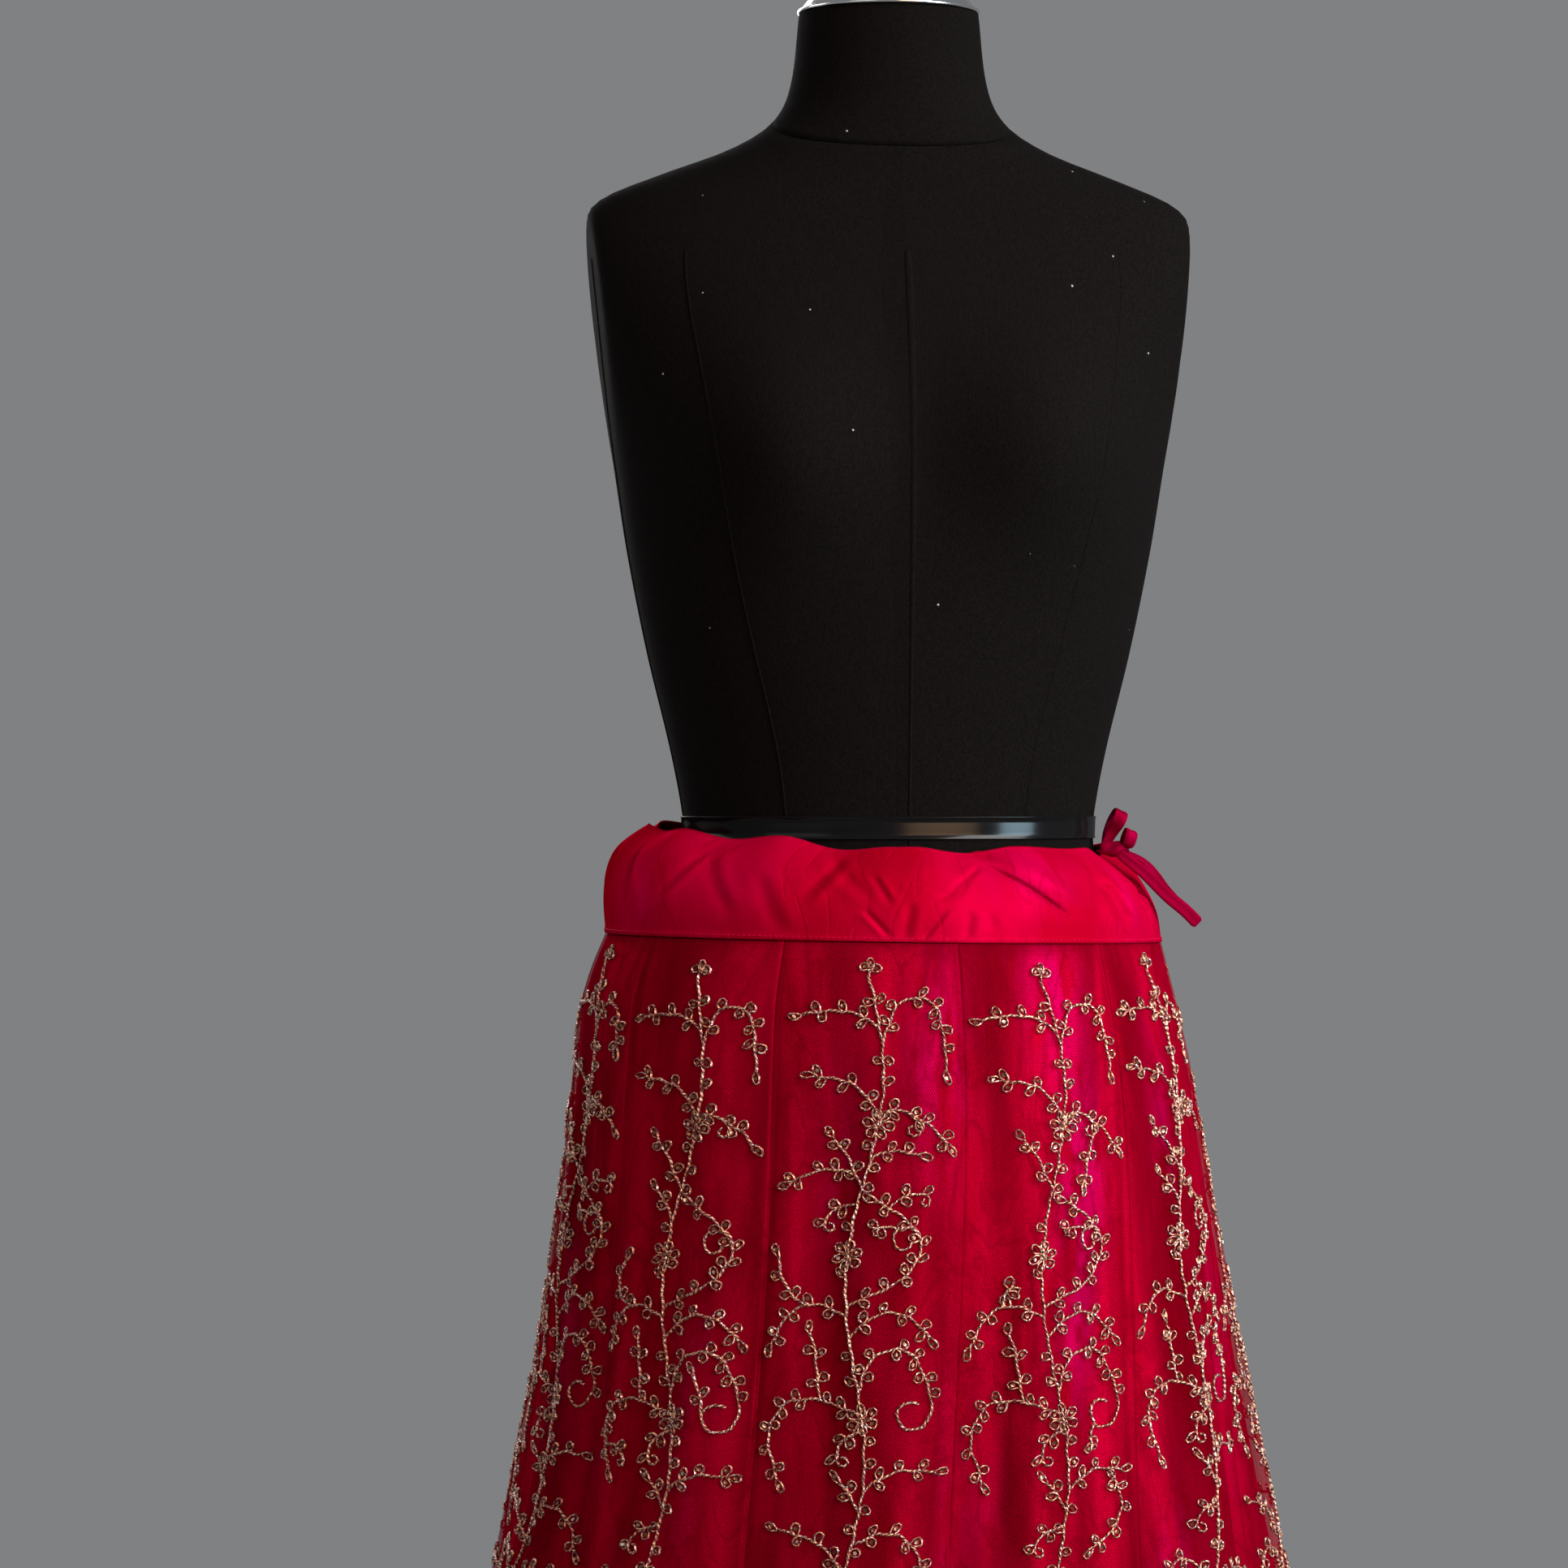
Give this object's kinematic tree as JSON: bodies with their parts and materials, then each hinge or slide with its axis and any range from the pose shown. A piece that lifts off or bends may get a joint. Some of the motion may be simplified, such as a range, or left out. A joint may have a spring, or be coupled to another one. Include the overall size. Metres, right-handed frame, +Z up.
{
  "type": "lehenga skirt on a dress form",
  "caption": "Floor-length flared skirt of vine-embroidered net over satin, gathered into a satin drawstring waistband, worn by a limbless dress form with a pole and round base.",
  "frame": {"origin": "centre of the underside of the stand's round base, on the floor under the pole", "axes": "+Z up, the skirt's front faces -Y, the wearer's left side with the drawstring bow is towards +X"},
  "size_m": [0.7607, 0.7319, 1.627],
  "materials": {
    "embroidered_net": "soft crimson net with pale gold cord embroidery",
    "satin_lining": "crimson satin, soft sheen with magenta highlights",
    "satin": "bright crimson satin, fine weave, soft sheen",
    "drawstring": "flat tube of crimson satin",
    "jersey": "brown-black knitted jersey",
    "waist_belt": "glossy black",
    "polished_metal": "polished"
  },
  "bodies": {
    "root": {"net_kali_01": "embroidered_net", "net_kali_02": "embroidered_net", "net_kali_03": "embroidered_net", "net_kali_04": "embroidered_net", "net_kali_05": "embroidered_net", "net_kali_06": "embroidered_net", "net_kali_07": "embroidered_net", "net_kali_08": "embroidered_net", "net_kali_09": "embroidered_net", "net_kali_10": "embroidered_net", "net_kali_11": "embroidered_net", "net_kali_12": "embroidered_net", "lining_gore_1": "satin_lining", "lining_gore_2": "satin_lining", "lining_gore_3": "satin_lining", "lining_gore_4": "satin_lining", "lining_gore_5": "satin_lining", "lining_gore_6": "satin_lining", "waistband": "satin", "drawstring_knot": "drawstring", "drawstring_loop_tall": "drawstring", "drawstring_loop_small": "drawstring", "drawstring_tail_front": "drawstring", "drawstring_tail_back": "drawstring", "form_torso": "jersey", "form_neck": "jersey", "form_belt": "waist_belt", "form_neck_cap": "polished_metal", "stand_pole": "polished_metal", "stand_base": "polished_metal"}
  },
  "joints": []
}
